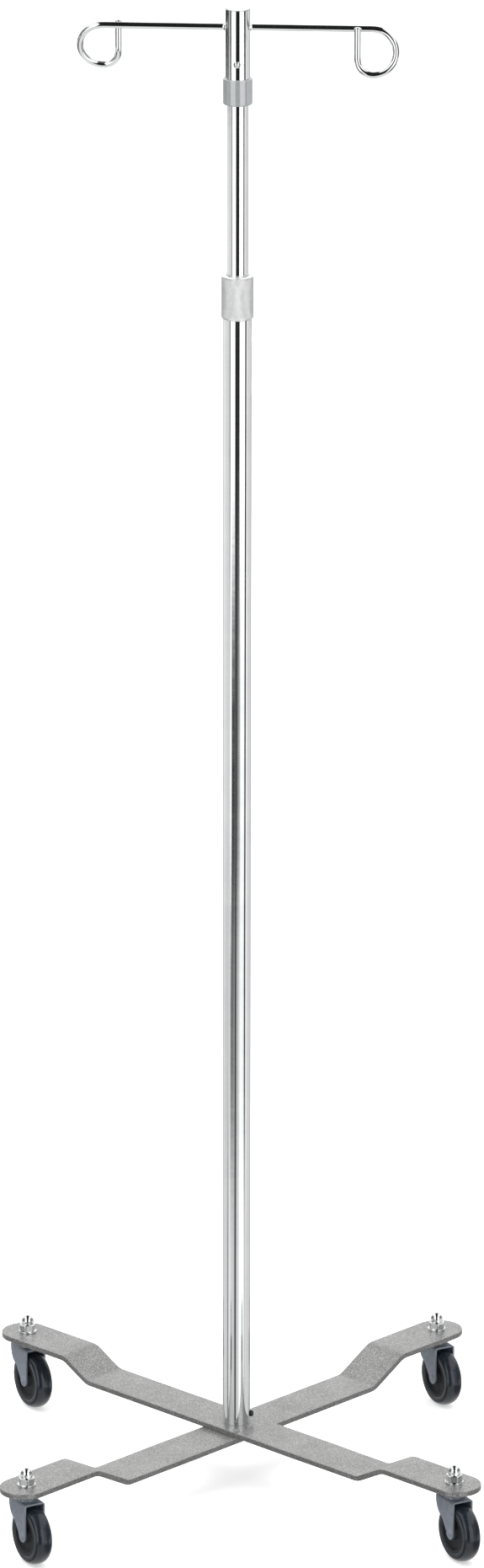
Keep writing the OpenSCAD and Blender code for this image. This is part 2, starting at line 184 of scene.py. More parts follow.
# Brightness round the room by direction, in degrees from the front, at six heights, in degrees too.
# A polished upright tube folds these strips into its stripes.
studio = {
    "strips": {
        -12.7: [(-180, 0.42), (-150, 0.44), (-140, 0.1), (-132, 0.012), (-98, 0.02), (-89, 0.06),
                (-86, 0.75), (-79, 0.62), (-76, 0.05), (-66, 0.06), (-62, 0.5), (-58, 0.9), (-55, 1.55),
                (-20, 1.5), (-17, 0.03), (-8, 0.012), (4, 0.02), (12, 0.008), (15, 0.008), (18, 1.6),
                (56, 1.5), (59, 0.01), (73, 0.02), (80, 1.05), (92, 0.8), (138, 0.72), (150, 0.44),
                (180, 0.42)],
        -15.0: [(-180, 0.42), (-150, 0.44), (-138, 1.05), (-110, 0.86), (-78, 0.78), (-67, 0.62),
                (-64, 0.24), (-58, 0.28), (-55, 1.55), (-20, 1.5), (-17, 0.04), (-8, 0.02), (4, 0.03),
                (13, 0.008), (17, 0.01), (20, 1.6), (63, 1.5), (66, 0.01), (76, 0.02), (80, 1.05),
                (92, 0.8), (138, 0.72), (150, 0.44), (180, 0.42)],
        -17.2: [(-180, 0.42), (-150, 0.46), (-138, 0.9), (-110, 0.84), (-78, 0.74), (-58, 0.84),
                (-53, 1.5), (-46, 1.4), (-44, 0.01), (-20, 0.03), (-16, 0.12), (-9, 0.1), (-3, 0.03),
                (5, 0.2), (14, 0.42), (19, 0.34), (24, 0.78), (30, 1.15), (60, 1.2), (64, 0.01),
                (74, 0.01), (80, 1.3), (92, 0.8), (138, 0.72), (150, 0.44), (180, 0.42)],
        -18.9: [(-180, 0.42), (-150, 0.46), (-138, 0.86), (-110, 0.72), (-78, 0.66), (-62, 0.8),
                (-54, 0.5), (-50, 0.12), (-30, 0.2), (-17, 0.34), (-15, 0.03), (-8, 0.08), (0, 0.45),
                (14, 0.75), (30, 1.15), (52, 1.1), (60, 0.8), (63, 0.01), (71, 0.01), (76, 0.7),
                (82, 1.15), (94, 0.76), (138, 0.7), (150, 0.44), (180, 0.42)],
        -20.6: [(-180, 0.42), (-150, 0.46), (-140, 0.75), (-96, 0.76), (-84, 0.7), (-80, 0.24),
                (-74, 0.3), (-66, 1.05), (-50, 0.85), (-24, 0.72), (-17, 0.3), (-11, 0.03), (-6, 0.1),
                (0, 0.8), (16, 0.8), (24, 1.4), (60, 1.35), (66, 0.7), (82, 0.84), (100, 0.75),
                (138, 0.72), (150, 0.44), (180, 0.42)],
        -22.0: [(-180, 0.3), (-140, 0.5), (-105, 0.2), (-72, 0.04), (-58, 0.1), (-40, 0.55), (-16, 0.3),
                (-8, 0.12), (8, 0.45), (30, 0.9), (52, 0.3), (66, 0.06), (100, 0.5), (140, 0.35),
                (180, 0.3)],
    },
    # where each strip gives way to the next
    "blends": [(-12.9, -13.05), (-15.2, -16.8), (-17.6, -18.7), (-19.3, -20.4), (-21.6, -21.9)],
    "windowTop": 34,         # degrees above the horizon
    "slit": 0.012,           # a dark slit runs over the ceiling, from the camera to the back
    "slitWidth": 0.3,
    "ceiling": 1.15,
    "backWall": 1.05,
    "sideWall": 0.2,
    "floorGlow": 0.86,
    "floorSides": 0.16,
    "horizon": 0.3,          # what matt surfaces receive from level, straight above and below
    "zenith": 1.95,
    "below": 0.16,
}


# 0 below low, 1 above high, with a smooth way between; low may be the larger one
def softStep(value, low, high):
    kit = value.kit
    return kit.add("ShaderNodeMapRange", {"interpolation_type": "SMOOTHSTEP"},
                   {"Value": value, "From Min": low, "From Max": high, "To Min": 0.0, "To Max": 1.0})


def makeStudio(s):
    world = bpy.data.worlds.new("studio")
    scene.world = world
    world.use_nodes = True
    kit = ShaderKit(world.node_tree)
    direction = kit.add("ShaderNodeTexCoord", output=0)
    split = kit.add("ShaderNodeSeparateXYZ", {}, {0: direction})
    x, y, z = (Value(kit, split.socket.node.outputs[i]) for i in range(3))
    ahead = math.radians(camera["azimuth"])
    side = x * math.cos(ahead) + y * math.sin(ahead)
    front = x * math.sin(ahead) - y * math.cos(ahead)
    around = side.maths("ARCTAN2", front) * (180 / math.pi)          # 0 at the camera, + to the right
    height = z.maths("ARCSINE") * (180 / math.pi)
    place = (around + 180) / 360
    strips = [kit.ramp(place, [((a + 180) / 360, v) for a, v in stops]) for stops in s["strips"].values()]
    room = strips[0]
    for strip, (start, end) in zip(strips[1:], s["blends"]):
        room = kit.mixed(softStep(height, start, end), room, strip)
    behind = softStep(front, -0.05, -0.35)
    sideways = softStep(side.maths("ABSOLUTE"), 0.72, 0.9)
    above = kit.mixed(sideways, kit.mixed(behind, room, grey(s["backWall"])), grey(s["sideWall"]))
    room = kit.mixed(softStep(height, -9, -5), room, above)
    slit = softStep(side.maths("ABSOLUTE"), s["slitWidth"] - 0.04, s["slitWidth"] + 0.04)
    ceiling = kit.mixed(slit, grey(s["slit"]), grey(s["ceiling"]))
    ceiling = kit.mixed(softStep(front, -0.55, -0.75), ceiling, grey(s["backWall"]))
    room = kit.mixed(softStep(height, s["windowTop"] - 1, s["windowTop"] + 1), room, ceiling)
    outward = softStep(side.maths("ABSOLUTE"), 0.45, 0.75)
    floorGlow = kit.mixed(outward, grey(s["floorGlow"]), grey(s["floorSides"]))
    room = kit.mixed(softStep(height, -23, -27), room, floorGlow)
    lift = z.maths("MAXIMUM", 0.0)
    sky = s["horizon"] + (s["zenith"] - s["horizon"]) * lift * lift
    matt = sky * softStep(height, -12, 0) + s["below"] * (1 - softStep(height, -12, 0))
    rays = kit.add("ShaderNodeLightPath")
    glossy = Value(kit, rays.socket.node.outputs["Is Glossy Ray"])
    seen = Value(kit, rays.socket.node.outputs["Is Camera Ray"])
    colour = kit.mixed(glossy, matt, room)
    colour = kit.mixed(seen, colour, grey(1.0))
    background = kit.add("ShaderNodeBackground", {}, {"Color": colour, "Strength": 1.0})
    kit.add("ShaderNodeOutputWorld", {}, {"Surface": background})


def addFloor():
    size = 30.0
    mesh = bpy.data.meshes.new("floor")
    corners = [(-size, -size, 0), (size, -size, 0), (size, size, 0), (-size, size, 0)]
    mesh.from_pydata(corners, [], [(0, 1, 2, 3)])
    floor = bpy.data.objects.new("floor", mesh)
    scene.collection.objects.link(floor)
    finish = Finish("floorPaper", Roughness=0.9, Emission_Strength=0.5, Emission_Color=(1, 1, 1, 1))
    finish.feed(Base_Color=finish.ramp(finish.noise(finish.where, 0.8), [(0.0, 0.93), (1.0, 0.96)]))
    mesh.materials.append(finish.material)
    floor.visible_glossy = False      # gloss and bounced light come from the studio and not from this sheet
    floor.visible_diffuse = False


lamps = {
    "topLight": {"place": (-0.6, -0.4, 4.5), "aim": (0, 0, 0), "size": (4.0, 4.0), "watts": 60, "spread": 180},
    "headLight": {"place": (0.5, -2.6, 1.9), "aim": (0, 0, 1.3), "size": (1.0, 0.6), "watts": 2.6,
                  "spread": 45},
}


def addLamp(name, lit):
    data = bpy.data.lights.new(name, "AREA")
    data.shape = "RECTANGLE"
    data.size, data.size_y = lit["size"]
    data.energy = lit["watts"]
    data.spread = math.radians(lit["spread"])
    lamp = bpy.data.objects.new(name, data)
    lamp.location = lit["place"]
    lamp.rotation_euler = (Vector(lit["aim"]) - Vector(lit["place"])).to_track_quat("-Z", "Y").to_euler()
    lamp.visible_glossy = False
    scene.collection.objects.link(lamp)


makeStudio(studio)
addFloor()
for lampName, lampValues in lamps.items():
    addLamp(lampName, lampValues)
print("studio ready")


# polished plate: faint smears change the tone and the gloss, over a very slight waviness
def chromeFinish():
    f = Finish("chrome", Metallic=1.0)
    smear = f.noise(f.where, 18 * mm, 3)
    fine = f.noise(f.where, 1.6 * mm, 2)
    f.feed(Base_Color=f.ramp(smear, [(0.3, (0.80, 0.81, 0.82)), (0.7, (0.86, 0.865, 0.87))]))
    f.feed(Roughness=0.035 + 0.035 * smear + 0.015 * fine)
    f.bump(f.noise(f.where, 9 * mm, 1), 0.008 * mm)
    return f.material


# vein powder coat: a pale grey metallic film drawn into small cells over a darker ground
def barFinish():
    f = Finish("barPaint", Metallic=0.6, Coat_Weight=0.15, Coat_Roughness=0.14)
    cells = f.add("ShaderNodeTexVoronoi", {"feature": "SMOOTH_F1"},
                  {"Vector": f.where, "Scale": 1 / (1.3 * mm), "Randomness": 1.0, "Smoothness": 0.5})
    grain = f.noise(f.where, 0.55 * mm, 3, 0.7)
    patches = f.noise(f.where, 30 * mm, 2)
    tone = (grain * 0.8 + cells * 0.25 + patches * 0.1).clamped()
    f.feed(Base_Color=f.ramp(tone, [(0.38, (0.08, 0.081, 0.078)), (0.55, (0.28, 0.283, 0.277)),
                                    (0.72, (0.54, 0.543, 0.537))]))
    f.feed(Roughness=0.26 + 0.16 * grain)
    f.bump(cells * 0.6 + grain * 0.8, 0.12 * mm, 0.8)
    return f.material


# plated steel: cloudy tone and gloss over a fine grain
def zincFinish(name, colour, roughness):
    f = Finish(name, Metallic=1.0)
    cloud = f.noise(f.where, 4 * mm, 4, 0.6)
    grain = f.noise(f.where, 0.4 * mm, 2, 0.6)
    low = tuple(c * 0.82 for c in colour)
    f.feed(Base_Color=f.ramp(cloud, [(0.3, low), (0.7, colour)]))
    f.feed(Roughness=roughness + 0.12 * cloud)
    f.bump(grain, 0.02 * mm)
    return f.material


# moulded plastic: faint clouding and a fine spark texture
def plasticFinish(name, dark, light, roughness, coat=0.0):
    f = Finish(name, Coat_Weight=coat, Coat_Roughness=0.12, Coat_IOR=2.3)
    cloud = f.noise(f.where, 7 * mm, 3)
    grain = f.noise(f.where, 0.35 * mm, 2, 0.6)
    f.feed(Base_Color=f.ramp(cloud * 0.7 + grain * 0.3, [(0.3, dark), (0.7, light)]))
    f.feed(Roughness=roughness + 0.1 * grain + 0.06 * cloud)
    f.bump(grain, 0.012 * mm)
    return f.material


# bright turned alloy: cloudy tone, with a fine grain in its gloss
def knurlFinish():
    f = Finish("knurledAlloy", Metallic=0.6)
    cloud = f.noise(f.where, 5 * mm, 3)
    grain = f.noise(f.where, 0.25 * mm, 2)
    f.feed(Base_Color=f.ramp(cloud, [(0.3, (0.86, 0.865, 0.87)), (0.7, (0.93, 0.935, 0.94))]))
    f.feed(Roughness=0.24 + 0.14 * grain)
    f.bump(grain, 0.01 * mm)
    return f.material


# blue-grey enamel on pressed steel, with its orange peel
def forkFinish():
    f = Finish("forkEnamel", Metallic=0.35, Coat_Weight=0.3, Coat_Roughness=0.22)
    cloud = f.noise(f.where, 5 * mm, 3)
    orange = f.noise(f.where, 0.9 * mm, 2)
    f.feed(Base_Color=f.ramp(cloud, [(0.3, (0.33, 0.38, 0.46)), (0.7, (0.44, 0.49, 0.57))]))
    f.feed(Roughness=0.36 + 0.14 * orange)
    f.bump(orange, 0.03 * mm)
    return f.material


# blue-black rubber with a thin film of dust in patches
def treadFinish():
    f = Finish("treadRubber", Coat_Weight=0.8, Coat_Roughness=0.16, Coat_IOR=1.55, Specular_IOR_Level=0.2)
    dust = f.noise(f.where, 3.5 * mm, 4, 0.65)
    grain = f.noise(f.where, 0.3 * mm, 2)
    f.feed(Base_Color=f.ramp(dust, [(0.35, (0.006, 0.012, 0.021)), (0.62, (0.012, 0.022, 0.036)),
                                    (0.85, (0.045, 0.064, 0.085))]))
    f.feed(Roughness=0.34 + 0.22 * dust + 0.06 * grain)
    f.bump(grain * 0.5 + dust, 0.03 * mm)
    return f.material


finishes = {
    "chrome": chromeFinish(),
    "bar_paint": barFinish(),
    "zinc": zincFinish("zincPlate", (0.72, 0.74, 0.76), 0.22),
    "dark_steel": zincFinish("darkSteel", (0.34, 0.35, 0.36), 0.32),
    "black_screw": plasticFinish("blackOxide", (0.012, 0.012, 0.014), (0.03, 0.03, 0.034), 0.32),
    "label_white": plasticFinish("labelFilm", (0.84, 0.85, 0.85), (0.88, 0.89, 0.89), 0.32),
    "knurled_alloy": knurlFinish(),
    "nylon_natural": plasticFinish("nylon", (0.66, 0.65, 0.58), (0.78, 0.77, 0.70), 0.38),
    "grey_collar": plasticFinish("collarPlastic", (0.38, 0.405, 0.415), (0.43, 0.455, 0.465), 0.35, coat=1.0),
    "cap_light": plasticFinish("capPlastic", (0.74, 0.75, 0.76), (0.82, 0.83, 0.84), 0.22, coat=0.3),
    "fork_grey": forkFinish(),
    "hub_black": plasticFinish("hubNylon", (0.012, 0.015, 0.019), (0.026, 0.031, 0.037), 0.5),
    "tread_black": treadFinish(),
}
print("finishes ready:", len(finishes))


# skins a grid of points, rows along and columns around; rows that shrink to a point are merged into poles
def meshPiece(name, grid, loopAround=True, loopAlong=False, sharp=32):
    rows, columns = grid.shape[:2]
    index = np.arange(rows * columns).reshape(rows, columns)
    if loopAround:
        index = np.concatenate([index, index[:, :1]], axis=1)
    if loopAlong:
        index = np.concatenate([index, index[:1]], axis=0)
    faces = np.stack([index[:-1, :-1], index[:-1, 1:], index[1:, 1:], index[1:, :-1]], axis=-1).reshape(-1, 4)
    return closedMesh(name, grid.reshape(-1, 3), faces, sharp)


def closedMesh(name, points, faces, sharp=32):
    mesh = bpy.data.meshes.new(name)
    mesh.from_pydata(np.asarray(points, float).tolist(), [], np.asarray(faces).tolist())
    work = bmesh.new()
    work.from_mesh(mesh)
    bmesh.ops.remove_doubles(work, verts=work.verts, dist=1e-7)
    bmesh.ops.dissolve_degenerate(work, edges=work.edges, dist=1e-8)
    bmesh.ops.recalc_face_normals(work, faces=work.faces)
    work.to_mesh(mesh)
    work.free()
    mesh.shade_smooth()
    mesh.set_sharp_from_angle(angle=math.radians(sharp))
    piece = bpy.data.objects.new(name, mesh)
    scene.collection.objects.link(piece)
    return piece


# an outline through (x, z, fillet) corners: each corner gives way to an arc tangent to both its sides,
# with one more point just outside either end, so that smooth shading leaves the flats flat
def rounded(corners, steps=5):
    out = []
    for before, here, after in zip(corners[-1:] + corners[:-1], corners, corners[1:] + corners[:1]):
        p, q, r = (np.array(c[:2], float) for c in (before, here, after))
        fillet = here[2] if len(here) > 2 else 0
        if fillet <= 0:
            out.append(q[None])
            continue
        a, b = (p - q) / np.linalg.norm(p - q), (r - q) / np.linalg.norm(r - q)
        half = math.acos(np.clip(a @ b, -1, 1)) / 2
        centre = q + (a + b) / np.linalg.norm(a + b) * fillet / math.sin(half)
        start, end = q + a * fillet / math.tan(half) - centre, q + b * fillet / math.tan(half) - centre
        t = np.linspace(0, 1, steps + 1)[:, None]
        bend = math.pi - 2 * half
        arc = (np.sin((1 - t) * bend) * start + np.sin(t * bend) * end) / math.sin(bend)
        first, last = (arc[0] + a * fillet * 0.12)[None], (arc[-1] + b * fillet * 0.12)[None]
        out.append(np.concatenate([first, arc, last]) + centre)
    return np.concatenate(out)


# points (r cos a, r sin a, z) for an outline (r, z) turned about Z
def spun(outline, columns=64):
    angle = np.arange(columns) * 2 * math.pi / columns
    r, z = outline[:, 0:1], outline[:, 1:2]
    return np.stack([r * np.cos(angle), r * np.sin(angle), z + 0 * angle], axis=-1)


# points turned about X, Y or Z by the right-hand rule
def turned(points, axis, degrees):
    a = math.radians(degrees)
    i, j = {"X": (1, 2), "Y": (2, 0), "Z": (0, 1)}[axis]
    out = np.array(points, float)
    out[..., i] = points[..., i] * math.cos(a) - points[..., j] * math.sin(a)
    out[..., j] = points[..., i] * math.sin(a) + points[..., j] * math.cos(a)
    return out


def moved(points, x=0.0, y=0.0, z=0.0):
    return points + np.array([x, y, z])


# gives a piece its finish, its body and the CAD nodes that it stands for
def dress(piece, body, slot, *nodes):
    piece.data.materials.append(finishes[slot])
    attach(piece, body)
    if nodes:
        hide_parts(*nodes)
    return piece


def heights(node):
    low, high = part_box(node)
    return low.z, high.z


bars = {
    "width": 44.45 * mm,
    "thickness": 5 * mm,
    "stemReach": 273.3 * mm,
    "endReach": 3 * mm,
    "footStart": 208 * mm,
    "bendAngle": 28,
    "bendRadius": 18 * mm,
    "edge": 0.7 * mm,
}


# height and slope along a bar: flat, an arc up, a straight ramp, an arc back, then the flat foot
def bentPath(u, middleHeight, footHeight, b):
    angle, radius = math.radians(b["bendAngle"]), b["bendRadius"]
    rise = footHeight - middleHeight
    ramp = (rise - 2 * radius * (1 - math.cos(angle))) / math.sin(angle)
    run = 2 * radius * math.sin(angle) + ramp * math.cos(angle)
    lowStart, highEnd = b["footStart"] - run, b["footStart"]
    away = np.abs(u)
    lowTurn = np.arcsin(np.clip((away - lowStart) / radius, 0, math.sin(angle)))
    highTurn = np.arcsin(np.clip((highEnd - away) / radius, 0, math.sin(angle)))
    lowRise = middleHeight + radius * (1 - np.cos(lowTurn))
    rampStart = lowStart + radius * math.sin(angle)
    rampRise = np.clip(away - rampStart, 0, ramp * math.cos(angle)) * math.tan(angle)
    highRise = radius * (np.cos(highTurn) - math.cos(angle))
    passedRamp = away > rampStart + ramp * math.cos(angle)
    height = lowRise + rampRise + np.where(passedRamp, highRise, 0)
    return height, np.minimum(lowTurn, highTurn) * np.sign(u)


def barPiece(name, node, turn, b):
    low, high = heights(node)
    middleHeight, footHeight = low + b["thickness"] / 2, high - b["thickness"] / 2
    half, end, t = b["width"] / 2, b["stemReach"] + b["endReach"], b["thickness"] / 2
    # (rho, z) from the middle of the top, round the edge, to the middle of the underside
    section = rounded([(0, t), (half, t, b["edge"]), (half, -t, b["edge"]), (0, -t)])
    # once round a stadium: centre point on its spine, and outward direction
    straight = np.concatenate([np.linspace(-end, -0.214, 9)[:-1], np.linspace(-0.214, -0.154, 37)[:-1],
                               np.linspace(-0.154, 0.154, 13)[:-1], np.linspace(0.154, 0.214, 37)[:-1],
                               np.linspace(0.214, end, 9)])
    swing = np.linspace(90, -90, 37)[1:-1]
    spine = np.concatenate([straight, np.full(35, end), straight[::-1], np.full(35, -end)])
    facing = np.radians(np.concatenate([np.full(len(straight), 90), swing, np.full(len(straight), -90),
                                        swing - 180]))
    rho, z = section[:, 0:1], section[:, 1:2]
    u = spine + rho * np.cos(facing)
    v = rho * np.sin(facing)
    height, slope = bentPath(u, middleHeight, footHeight, b)
    grid = np.stack([u - z * np.sin(slope), v + 0 * z, height + z * np.cos(slope)], axis=-1)
    return dress(meshPiece(name, turned(grid, "Z", turn)), "base", "bar_paint", node)


barPiece("upperBar", "base_bar_upper", -45, bars)
barPiece("lowerBar", "base_bar_lower", 45, bars)
print("bars built")


nuts = {
    "acrossFlats": 13.6 * mm,
    "hexHeight": 6.5 * mm,
    "height": 15 * mm,
    "crownRadius": 5.65 * mm,
    "cornerRound": 0.35 * mm,
    "washerBore": 4.2 * mm,
    "washerRadius": 8.5 * mm,
    "washerEdge": 0.3 * mm,
    "turns": {"fl": 8, "fr": 22, "bl": 41, "br": 3},     # degrees, as each was left when tightened
}


# distance to a hexagon's side at an angle: half the flats over the cosine of the angle from the side's
# middle, with the corners eased
def hexRadius(angle, acrossFlats, cornerRound):
    sector = (angle + math.pi / 6) % (math.pi / 3) - math.pi / 6
    sharpEdge = acrossFlats / 2 / np.cos(sector)
    corner = acrossFlats / math.sqrt(3) - cornerRound
    blend = cornerRound * 0.35
    return (sharpEdge + corner - np.sqrt((sharpEdge - corner) ** 2 + blend ** 2)) / 2 + blend / 2


# rows of a hexagonal prism whose ends are turned to a cone, as a nut's corners are
def hexBody(low, high, n, columns=144):
    angle = np.arange(columns) * 2 * math.pi / columns
    side = hexRadius(angle, n["acrossFlats"], n["cornerRound"])
    h = np.concatenate([np.linspace(0, 0.12, 6), np.linspace(0.14, 0.86, 7), np.linspace(0.88, 1, 6)])
    h = h[:, None]
    nearEnd = np.minimum(h, 1 - h) * (high - low)
    cone = n["acrossFlats"] / 2 * 0.985 + nearEnd * math.tan(math.radians(60))
    r = np.minimum(side, cone)
    return np.stack([r * np.cos(angle), r * np.sin(angle), low + (high - low) * h + 0 * angle], axis=-1)


# one row of points: a circle of a radius at a height
def ringAt(radius, z, columns):
    angle = np.arange(columns) * 2 * math.pi / columns
    return np.stack([radius * np.cos(angle), radius * np.sin(angle), z + 0 * angle], axis=-1)[None]


# a hexagonal body, a narrow neck, then a quarter circle turned into a dome
def capNut(foot, n, columns=144):
    body = hexBody(foot, foot + n["hexHeight"], n, columns)
    top = foot + n["height"]
    crown, hexTop = n["crownRadius"], foot + n["hexHeight"]
    centre = top - crown
    sweep = np.radians(np.linspace(0, 90, 19))
    dome = np.stack([crown * np.cos(sweep), centre + crown * np.sin(sweep)], axis=-1)
    neck = np.array([[crown + 0.55 * mm, hexTop], [crown + 0.2 * mm, hexTop + 0.12 * mm],
                     [crown, hexTop + 0.5 * mm]])
    upper = spun(np.concatenate([neck, dome]), columns)
    return np.concatenate([ringAt(0, foot, columns), body, upper])


# a rectangle (r, z) from bore to rim and from foot to top, with its four corners rounded
def washerOutline(inner, outer, low, high, edge):
    return rounded([(inner, low, edge), (outer, low, edge), (outer, high, edge), (inner, high, edge)])


def stemPlaces():
    spots = {}
    for joint in frame["joints"]:
        if joint["name"].startswith("caster_swivel_"):
            spots[joint["name"][-2:]] = np.array(joint["pos_m"][:2])
    return spots


stems = stemPlaces()
wheelJoints = {j["name"][-2:]: j for j in frame["joints"] if j["name"].startswith("wheel_roll_")}


def nutPieces(n):
    nutFoot = heights("cap_nuts")[0]
    washerLow, washerHigh = heights("stem_washers")
    for name, spot in stems.items():
        grid = moved(turned(capNut(nutFoot, n), "Z", n["turns"][name]), *spot)
        nut = meshPiece("capNut_" + name, grid, sharp=24)
        dress(nut, "base", "chrome", "cap_nuts")
        outline = washerOutline(n["washerBore"], n["washerRadius"], washerLow, washerHigh, n["washerEdge"])
        washer = meshPiece("washer_" + name, moved(spun(outline), *spot), loopAlong=True)
        dress(washer, "base", "chrome", "stem_washers")


nutPieces(nuts)


bolt = {
    "acrossFlats": 12.7 * mm,
    "shank": 3.97 * mm,
    "tip": 3.6 * mm,
    "washerBore": 4.15 * mm,
    "washerRadius": 7.2 * mm,
    "washerEdge": 0.25 * mm,
    "halfCut": 3.5,          # degrees from the middle of the spring washer's cut to its side
}


# a hexagonal head with a turned shank; the spring washer is its outline carried round all but the cut
def boltPiece(b, n):
    low, high = heights("base_bolt")
    washerLow, washerHigh = heights("base_lock_washer")
    columns = 144
    head = hexBody(low, washerLow, dict(n, acrossFlats=b["acrossFlats"]), columns)
    shank = np.array([[b["shank"], washerLow], [b["shank"], high], [b["tip"], high], [0, high]])
    grid = np.concatenate([ringAt(0, low, columns), head, spun(shank, columns)])
    dress(meshPiece("baseBolt", grid, sharp=24), "base", "zinc", "base_bolt")
    outline = washerOutline(b["washerBore"], b["washerRadius"], washerLow, washerHigh, b["washerEdge"])
    angle = np.radians(np.linspace(b["halfCut"], 360 - b["halfCut"], 72))
    r, z = outline[:, 0:1], outline[:, 1:2]
    around = np.stack([r * np.cos(angle), r * np.sin(angle), z + 0 * angle], axis=-1)
    centre = around.mean(axis=0, keepdims=True)
    grid = np.swapaxes(around, 0, 1)
    ends = np.swapaxes(np.repeat(centre, len(outline), axis=0), 0, 1)
    grid = np.concatenate([ends[:1], grid, ends[-1:]])
    dress(meshPiece("springWasher", grid), "base", "zinc", "base_lock_washer")


boltPiece(bolt, nuts)

rivets = {"headRadius": 2.9 * mm, "headHeight": 1.45 * mm, "headRoom": 1.5 * mm, "shank": 1.6 * mm}


# a quarter ellipse under, a straight shank and a quarter ellipse above, turned about Z
def rivetPieces(v):
    low, high = heights("locating_rivets")
    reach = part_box("locating_rivets")[1].y - v["headRadius"]
    underTop, topFoot = low + v["headRoom"], high - v["headRoom"]
    sweep = np.radians(np.linspace(0, 90, 9))
    dome = np.stack([v["headRadius"] * np.cos(sweep), v["headHeight"] * np.sin(sweep)], axis=-1)
    top = dome + [0, topFoot]
    under = dome[::-1] * [1, -1] + [0, underTop]
    outline = np.concatenate([under, [[v["shank"], underTop], [v["shank"], topFoot]], top])
    for name, side in (("front", -1), ("back", 1)):
        rivet = meshPiece("rivet_" + name, moved(spun(outline, 40), 0, side * reach, 0))
        dress(rivet, "base", "bar_paint", "locating_rivets")


rivetPieces(rivets)
print("fasteners built")


pole = {
    "outerRadius": 12.7 * mm,
    "outerBore": 11.05 * mm,
    "innerRadius": 9.525 * mm,
    "innerBore": 7.975 * mm,
    "headRadius": 11.1 * mm,
    "headBore": 9.625 * mm,
    "edge": 0.25 * mm,
}


# a tube: its wall's rounded outline turned about the pole, with rows close together near the rims
def tubePiece(name, node, outer, inner, body, p):
    low, high = heights(node)
    outline = washerOutline(inner, outer, low, high, p["edge"])
    return dress(meshPiece(name, spun(outline, 128), loopAlong=True), body, "chrome", node)


tubePiece("lowerTube", "outer_tube", pole["outerRadius"], pole["outerBore"], "base", pole)
tubePiece("slidingTube", "inner_tube", pole["innerRadius"], pole["innerBore"], "sliding_pole", pole)
tubePiece("headTube", "head_tube", pole["headRadius"], pole["headBore"], "head", pole)


label = {"start": -38.0, "end": 50.0, "corner": 3 * mm, "film": 0.2 * mm, "gap": 0.02 * mm}    # degrees from +X


# a thin blank film with rounded corners, bent round the tube: its width turns into an angle
def labelPiece(b, p):
    low, high = heights("tube_label")
    start, end, corner, film = b["start"], b["end"], b["corner"], b["film"]
    surface = p["outerRadius"] + b["gap"]
    halfWide = math.radians(end - start) / 2 * surface
    halfTall = (high - low) / 2
    outline = rounded([(-halfWide, -halfTall, corner), (halfWide, -halfTall, corner),
                       (halfWide, halfTall, corner), (-halfWide, halfTall, corner)], 8)
    shrink = np.array([[0.0], [0.25], [0.5], [0.75], [0.985], [1.0], [1.0], [0.0]])
    lift = np.array([[1.0], [1.0], [1.0], [1.0], [1.0], [0.6], [0.0], [0.0]]) * film
    x, z = shrink * outline[:, 0], shrink * outline[:, 1]
    angle = x / surface + math.radians(start + end) / 2
    r = surface + lift
    grid = np.stack([r * np.cos(angle), r * np.sin(angle), z + (low + high) / 2], axis=-1)
    dress(meshPiece("tubeLabel", grid), "base", "label_white", "tube_label")


labelPiece(label, pole)

screw = {"headRadius": 2.9 * mm, "headHeight": 3.4 * mm, "slotWidth": 0.9 * mm, "slotDepth": 0.9 * mm}


# pan-head screw along +X: a domed head whose height dips along a slot
def screwPiece(s, p):
    centre = sum(heights("plug_screw")) / 2
    t = np.linspace(0, 1, 33)[:, None]
    angle = np.arange(96) * 2 * math.pi / 96
    r = s["headRadius"] * np.sin(t * math.pi / 2)
    top = s["headHeight"] * np.cos(t * math.pi / 2) ** 0.55
    across = np.abs(r * np.sin(angle))
    slot = 1 / (1 + np.exp((across - s["slotWidth"] / 2) / (0.06 * mm)))
    x = np.maximum(top - s["slotDepth"] * slot * (top > s["slotDepth"] + 0.4 * mm), 0) + 0 * angle
    head = np.stack([x + p["outerRadius"] + 0.02 * mm, r * np.cos(angle), r * np.sin(angle)], axis=-1)
    back = np.array([[2.0, 0.0], [2.0, -4.0], [0.0, -4.0]]) * mm
    shank = np.stack([back[:, 1:2] + p["outerRadius"] + 0 * angle, back[:, 0:1] * np.cos(angle),
                      back[:, 0:1] * np.sin(angle)], axis=-1)
    grid = moved(np.concatenate([head, shank]), 0, 0, centre)
    dress(meshPiece("plugScrew", grid, sharp=50), "base", "black_screw", "plug_screw")


screwPiece(screw, pole)

lockCollar = {
    "radius": 14.5 * mm,
    "diamondsAround": 56,
    "diamondsTall": 23,
    "knurlDepth": 0.34 * mm,
    "plainBand": 1.3 * mm,
    "chamfer": 1.2 * mm,
}


